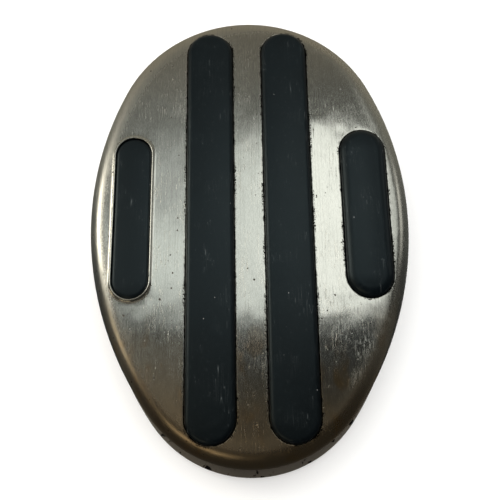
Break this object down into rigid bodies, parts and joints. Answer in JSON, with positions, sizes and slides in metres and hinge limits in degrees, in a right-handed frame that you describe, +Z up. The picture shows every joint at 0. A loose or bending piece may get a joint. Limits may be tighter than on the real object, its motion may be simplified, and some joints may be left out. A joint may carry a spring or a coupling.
{
  "type": "sewing machine foot pedal",
  "caption": "Egg-shaped brushed steel foot controller with black rubber treads, hinged at its narrow heel end over a steel tray that holds the speed control.",
  "frame": {"origin": "on the floor under the middle of the outline of the tray's rim, which is the middle of the whole part's box", "axes": "+Z up from the floor, +Y towards the wide toe end that goes down when pressed, +X to the right seen from the heel end, along the hinge pin"},
  "size_m": [0.1164, 0.1684, 0.0499],
  "materials": {
    "brushed_stainless": "stainless steel, brushed lengthwise, worn and lightly pitted",
    "tread_rubber": "moulded black rubber, satin, slightly scuffed",
    "tray_steel": "pressed steel, dulled plating",
    "zinc_steel": "zinc plated steel",
    "spring_steel": "oiled spring wire",
    "foot_rubber": "moulded black rubber",
    "white_ceramic": "unglazed steatite",
    "brown_phenolic": "moulded phenolic resin",
    "brass": "turned and rolled brass",
    "carbon": "pressed carbon discs",
    "can_aluminium": "drawn aluminium can",
    "black_moulding": "black moulded plastic",
    "lead_sleeve": "grey rubber sleeved lead"
  },
  "bodies": {
    "base": {"base_tray": "tray_steel", "foot_screws": "zinc_steel", "foot_nuts": "zinc_steel", "hinge_bracket_left": "zinc_steel", "hinge_bracket_right": "zinc_steel", "bracket_rivets": "zinc_steel", "hinge_pin": "zinc_steel", "pin_clips": "zinc_steel", "spring_seat_left": "zinc_steel", "spring_seat_right": "zinc_steel", "seat_rivets": "zinc_steel", "stop_bridge": "zinc_steel", "bridge_rivets": "zinc_steel", "housing_screws": "zinc_steel", "suppressor_clip": "zinc_steel", "clip_rivets": "zinc_steel", "inlet_rivets": "zinc_steel", "return_spring_left": "spring_steel", "return_spring_right": "spring_steel", "plunger_spring": "spring_steel", "foot_toe_left": "foot_rubber", "foot_toe_right": "foot_rubber", "foot_heel_left": "foot_rubber", "foot_heel_right": "foot_rubber", "stop_bumper": "foot_rubber", "stop_pad": "foot_rubber", "rheostat_housing": "white_ceramic", "rheostat_lid": "brown_phenolic", "terminal_left": "brass", "terminal_right": "brass", "contact_button_left": "brass", "contact_button_right": "brass", "inlet_pins": "brass", "carbon_stack_left": "carbon", "carbon_stack_right": "carbon", "suppressor_can": "can_aluminium", "inlet_housing": "black_moulding", "lead_live": "lead_sleeve", "lead_neutral": "lead_sleeve"},
    "treadle": {"treadle_cover": "brushed_stainless", "long_tread_left": "tread_rubber", "long_tread_right": "tread_rubber", "short_tread_left": "tread_rubber", "short_tread_right": "tread_rubber", "carrier_plate": "zinc_steel", "cover_studs": "zinc_steel", "carrier_nuts": "zinc_steel", "hinge_bush_left": "brass", "hinge_bush_right": "brass", "pusher_pad": "brown_phenolic", "spring_cap_left": "zinc_steel", "spring_cap_right": "zinc_steel", "cap_rivets": "zinc_steel", "stop_lug": "zinc_steel", "lug_rivets": "zinc_steel"},
    "plunger": {"plunger": "brown_phenolic", "contact_bar": "brass"}
  },
  "joints": [
    {"name": "treadle_tilt", "type": "hinge", "parent": "base", "child": "treadle", "pos_m": [0, -0.062, 0.02], "axis": [-1, 0, 0], "range_deg": [0, 6], "stiffness_Nm_per_rad": 6, "springref_deg": -20.05, "deforming": ["return_spring_left", "return_spring_right"]},
    {"name": "plunger_slide", "type": "slide", "parent": "base", "child": "plunger", "axis": [0, 0, -1], "range_m": [0, 0.0032], "stiffness_N_per_m": 150, "springref_m": -0.003, "deforming": ["plunger_spring"]}
  ],
  "couplings": [
    {"joint": "plunger_slide", "follows": "treadle_tilt", "m_per_rad": 0.0305}
  ]
}
